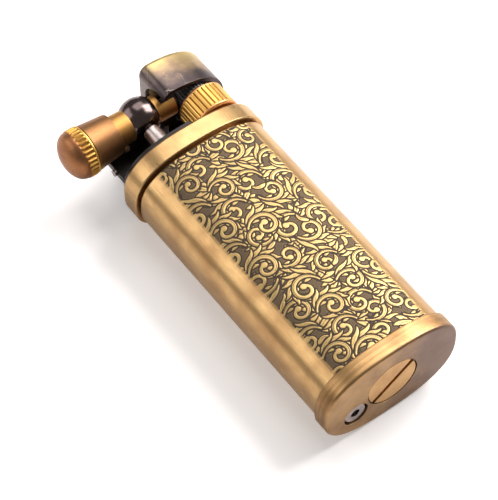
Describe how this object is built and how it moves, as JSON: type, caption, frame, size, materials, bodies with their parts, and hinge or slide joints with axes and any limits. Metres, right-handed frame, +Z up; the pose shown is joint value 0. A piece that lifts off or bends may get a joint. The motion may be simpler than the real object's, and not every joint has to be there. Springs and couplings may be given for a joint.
{
  "type": "pocket lighter",
  "caption": "Oval brass pocket gas lighter with an engraved front, a knurled thumb roller, a flint tube with a domed flint screw, and a hood that lifts off the burner.",
  "frame": {"origin": "centre of the flat base", "axes": "+Z up towards the flame, the engraved front faces -Y, the flint tube points to -X and the hood is at +X"},
  "size_m": [0.0328, 0.018, 0.0712],
  "materials": {
    "antique_brass": "satin antique brass, engraved on the front",
    "bronze_brass": "aged brown brass, satin",
    "copper_brass": "orange brass, satin",
    "bright_brass": "bright yellow brass, knurled",
    "gunmetal_hood": "gunmetal bronze plating, worn to brass at the top edge",
    "black_nickel": "black nickel plating, satin",
    "black_nickel_polished": "black nickel plating, polished",
    "steel": "turned steel",
    "spring_steel": "drawn spring wire",
    "hardened_steel": "hardened file steel",
    "tank_steel": "drawn steel, dull",
    "ferrocerium": "grey ferrocerium",
    "nitrile": "black nitrile rubber"
  },
  "bodies": {
    "body": {"body_sleeve": "antique_brass", "base_cap": "antique_brass", "base_gasket": "nitrile", "gas_tank": "tank_steel", "tank_gasket": "nitrile", "tank_lid": "tank_steel", "top_collar": "antique_brass", "fill_valve_body": "steel", "fill_valve_spring": "spring_steel", "fill_valve_seal": "nitrile", "burner_valve_body": "copper_brass", "burner_gland": "copper_brass", "burner_spring": "spring_steel", "chassis": "black_nickel", "chassis_screw_left": "black_nickel", "chassis_screw_right": "black_nickel", "side_screw": "steel", "ball_post": "steel", "post_nut": "steel", "ball_collar": "black_nickel_polished", "flint_tube": "bronze_brass", "hinge_pin": "steel", "lever_pin": "steel", "hood_spring": "spring_steel", "roller_axle": "steel", "roller_washer": "steel", "axle_clip": "spring_steel", "flint_spring": "spring_steel"},
    "roller": {"thumb_roller": "bright_brass", "lift_cam": "steel", "striker_wheel": "hardened_steel"},
    "hood": {"hood_shell": "gunmetal_hood", "hood_arm": "black_nickel", "snuffer_pad": "nitrile"},
    "lever": {"valve_lever": "steel"},
    "nozzle": {"burner_nozzle": "copper_brass"},
    "flint_feed": {"flint": "ferrocerium", "flint_follower": "bronze_brass"},
    "plug": {"flint_plug": "bronze_brass"},
    "knob": {"flint_knob": "bronze_brass"},
    "fill_stem": {"fill_valve_stem": "steel"},
    "tank_screw": {"base_screw": "copper_brass"}
  },
  "joints": [
    {"name": "nozzle_lift", "type": "slide", "parent": "body", "child": "nozzle", "axis": [0, 0, 1], "range_m": [0, 0.00082], "deforming": ["burner_spring"]},
    {"name": "roller_turn", "type": "hinge", "parent": "body", "child": "roller", "pos_m": [0.0068, -0.004, 0.0595], "axis": [0, 0, -1], "range_deg": [0, 100]},
    {"name": "hood_lift", "type": "hinge", "parent": "body", "child": "hood", "pos_m": [-0.0075, 0.0028, 0.0642], "axis": [0, -1, 0], "range_deg": [0, 55], "stiffness_Nm_per_rad": 0.002, "springref_deg": -22.92, "deforming": ["hood_spring"]},
    {"name": "lever_tilt", "type": "hinge", "parent": "body", "child": "lever", "pos_m": [-0.002, 0.0028, 0.0616], "axis": [0, -1, 0], "range_deg": [0, 5.5]},
    {"name": "flint_push", "type": "slide", "parent": "body", "child": "flint_feed", "axis": [-1, 0, 0], "range_m": [0, 0.0015], "stiffness_N_per_m": 400, "deforming": ["flint_spring"]},
    {"name": "plug_draw", "type": "slide", "parent": "body", "child": "plug", "axis": [-1, 0, 0], "range_m": [0, 0.00375]},
    {"name": "knob_turn", "type": "hinge", "parent": "plug", "child": "knob", "pos_m": [-0.0161, -0.004, 0.0652], "axis": [-1, 0, 0], "range_deg": [0, 1800]},
    {"name": "fill_stem_press", "type": "slide", "parent": "body", "child": "fill_stem", "axis": [0, 0, 1], "range_m": [0, 0.0011], "stiffness_N_per_m": 300, "deforming": ["fill_valve_spring"]},
    {"name": "base_screw_turn", "type": "hinge", "parent": "body", "child": "tank_screw", "pos_m": [0, 0, 0.0006], "axis": [0, 0, -1], "range_deg": [0, 720]}
  ],
  "couplings": [
    {"joint": "roller_turn", "follows": "nozzle_lift", "rad_per_m": 2128.5},
    {"joint": "hood_lift", "follows": "nozzle_lift", "rad_per_m": 1170.6},
    {"joint": "lever_tilt", "follows": "nozzle_lift", "rad_per_m": 117.06},
    {"joint": "knob_turn", "follows": "plug_draw", "rad_per_m": 8377.6}
  ]
}
